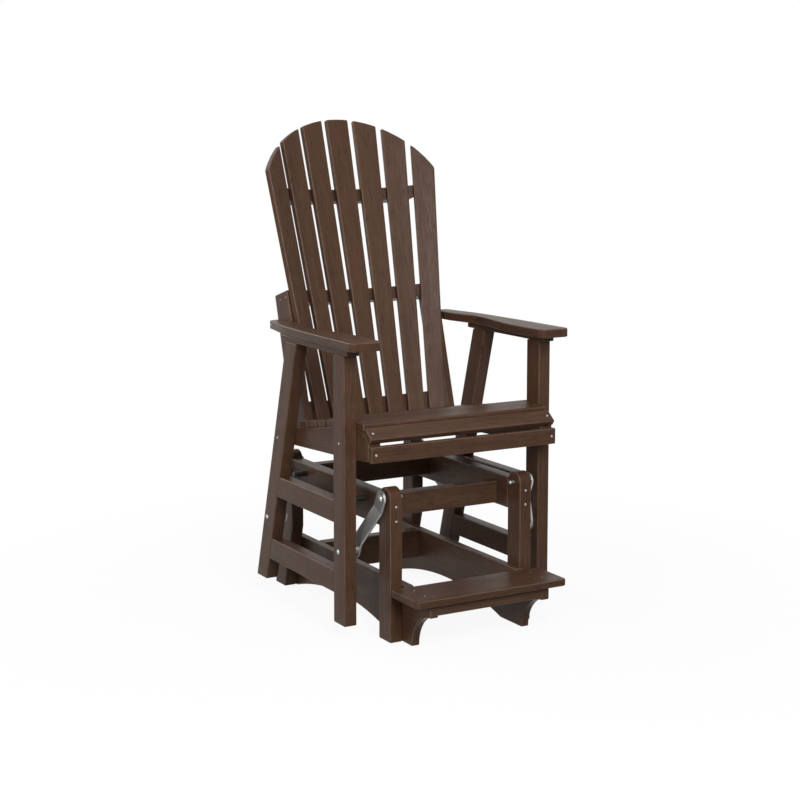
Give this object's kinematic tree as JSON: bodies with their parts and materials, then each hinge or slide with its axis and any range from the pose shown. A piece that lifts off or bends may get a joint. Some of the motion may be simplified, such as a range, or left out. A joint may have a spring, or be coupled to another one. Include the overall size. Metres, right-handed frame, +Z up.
{
  "type": "glider chair",
  "caption": "Counter-height glider chair with a fan back, wide arms and footrest; its seat frame swings on joggled steel links in a standing base.",
  "frame": {"origin": "on the ground, at the middle of the chair's footprint", "axes": "+Z up, the sitter faces -Y, +X to the sitter's left, so that nodes named left lie at -X as seen from the front"},
  "size_m": [0.6984, 0.9159, 1.414],
  "materials": {
    "lumber": "moulded poly lumber with fine lengthwise grain, satin",
    "steel": "satin stainless steel"
  },
  "bodies": {
    "base": {"front_post_right": "lumber", "front_post_left": "lumber", "rear_post_right": "lumber", "rear_post_left": "lumber", "top_side_rail_right": "lumber", "top_side_rail_left": "lumber", "front_upper_cross_rail": "lumber", "rear_upper_cross_rail": "lumber", "rear_lower_cross_rail": "lumber", "skid_right": "lumber", "skid_left": "lumber", "footrest_plank": "lumber", "footrest_cross_rail": "lumber", "front_upper_bolt_right": "steel", "front_upper_bolt_left": "steel", "rear_upper_bolt_right": "steel", "rear_upper_bolt_left": "steel"},
    "swing_front_left": {"front_link_left": "steel"},
    "swing_front_right": {"front_link_right": "steel"},
    "swing_rear_left": {"rear_link_left": "steel"},
    "swing_rear_right": {"rear_link_right": "steel"},
    "seat_frame": {"front_lower_bolt_right": "steel", "front_lower_bolt_left": "steel", "rear_lower_bolt_right": "steel", "rear_lower_bolt_left": "steel", "front_leg_right": "lumber", "front_leg_left": "lumber", "rear_leg_right": "lumber", "rear_leg_left": "lumber", "middle_leg_rail_right": "lumber", "middle_leg_rail_left": "lumber", "low_leg_rail_right": "lumber", "low_leg_rail_left": "lumber", "arm_cleat_right": "lumber", "arm_cleat_left": "lumber", "arm_right": "lumber", "arm_left": "lumber", "seat_side_rail_right": "lumber", "seat_side_rail_left": "lumber", "seat_slat_1": "lumber", "seat_slat_2": "lumber", "seat_slat_3": "lumber", "seat_slat_4": "lumber", "seat_slat_5": "lumber", "front_seat_slat": "lumber", "nose_slat": "lumber", "seat_apron": "lumber", "back_slat_1": "lumber", "back_slat_2": "lumber", "back_slat_3": "lumber", "back_slat_4": "lumber", "back_slat_5": "lumber", "back_slat_6": "lumber", "back_slat_7": "lumber", "upper_back_batten": "lumber", "middle_back_rail": "lumber", "lower_back_batten": "lumber", "back_stile_right": "lumber", "back_stile_left": "lumber"}
  },
  "joints": [
    {"name": "glide", "type": "hinge", "parent": "base", "child": "swing_front_left", "pos_m": [-0.23905, -0.26402, 0.3962], "axis": [1, 0, 0], "range_deg": [-15, 15]},
    {"name": "front_right_pivot", "type": "hinge", "parent": "base", "child": "swing_front_right", "pos_m": [0.23905, -0.26402, 0.3962], "axis": [1, 0, 0], "range_deg": [-15, 15]},
    {"name": "rear_left_pivot", "type": "hinge", "parent": "base", "child": "swing_rear_left", "pos_m": [-0.23905, 0.33418, 0.3962], "axis": [1, 0, 0], "range_deg": [-15.7, 15.7]},
    {"name": "rear_right_pivot", "type": "hinge", "parent": "base", "child": "swing_rear_right", "pos_m": [0.23905, 0.33418, 0.3962], "axis": [1, 0, 0], "range_deg": [-15.7, 15.7]},
    {"name": "seat_pivot", "type": "hinge", "parent": "swing_front_left", "child": "seat_frame", "pos_m": [-0.28743, -0.19488, 0.24518], "axis": [1, 0, 0], "range_deg": [-20.1, 20.1]}
  ],
  "couplings": [
    {"joint": "seat_pivot", "follows": "glide", "ratio": -1.333},
    {"joint": "front_right_pivot", "follows": "glide", "ratio": 1},
    {"joint": "rear_left_pivot", "follows": "glide", "ratio": 1.04},
    {"joint": "rear_right_pivot", "follows": "glide", "ratio": 1.04}
  ]
}
